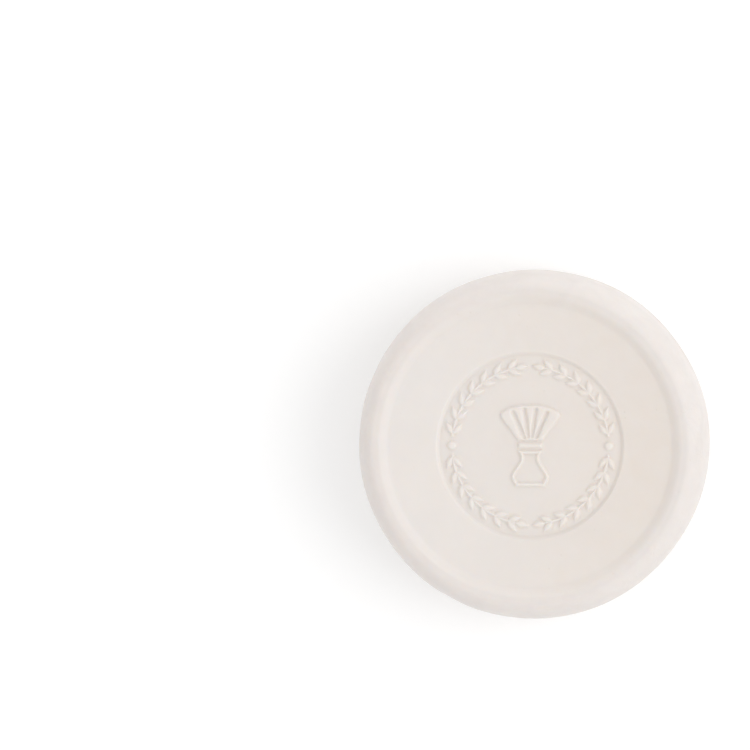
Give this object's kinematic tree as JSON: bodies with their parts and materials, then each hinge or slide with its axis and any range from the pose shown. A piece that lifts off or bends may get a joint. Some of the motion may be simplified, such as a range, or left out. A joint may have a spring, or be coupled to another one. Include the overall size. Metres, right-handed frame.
{
  "type": "shaving soap puck",
  "caption": "Round pressed shaving soap puck with a raised rim, a dished face and a stamped relief medallion, lying on its flat back.",
  "frame": {"origin": "centre of the flat back, which the puck lies on", "axes": "+Z along the puck's axis, out of the stamped face; +Y towards the top of the stamped picture"},
  "size_m": [0.06, 0.06, 0.0235],
  "materials": {
    "soap": "hard pressed soap, warm off-white, smooth and slightly waxy"
  },
  "bodies": {
    "root": {"soap_puck": "soap"}
  },
  "joints": []
}
